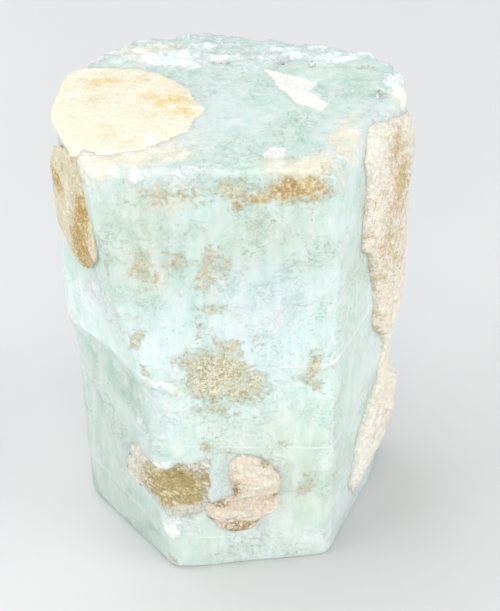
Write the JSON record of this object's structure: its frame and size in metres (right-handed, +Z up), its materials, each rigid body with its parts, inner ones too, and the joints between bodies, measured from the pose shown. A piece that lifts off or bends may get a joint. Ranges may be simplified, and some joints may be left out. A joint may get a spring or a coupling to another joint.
{
  "type": "aquamarine crystal specimen",
  "caption": "Stubby hexagonal aquamarine crystal standing on its flat base, with cream and rusty feldspar matrix on its edges.",
  "frame": {"origin": "middle of the footprint, on the surface that the crystal stands on", "axes": "+Z up along the crystal's long axis, +Y to the back, +X to the right as seen from the front"},
  "size_m": [0.0264, 0.0224, 0.0364],
  "materials": {
    "aquamarine": "pale milky blue-green beryl, satin etched faces, clear depth with veils",
    "cream_feldspar": "matt ivory with faint yellow and tan blotches",
    "pale_feldspar": "granular cream to tan, with white sugary edges",
    "rusty_feldspar": "granular orange-brown iron stain over cream",
    "pink_feldspar": "matt cream-pink with a brown underside",
    "brown_earth": "crumbly olive-brown weathered infill"
  },
  "bodies": {
    "root": {"aquamarine_crystal": "aquamarine", "feldspar_cap": "cream_feldspar", "feldspar_crust_right": "pale_feldspar", "rusty_crust_left": "rusty_feldspar", "feldspar_knob": "pink_feldspar", "pit_filling": "brown_earth"}
  },
  "joints": []
}
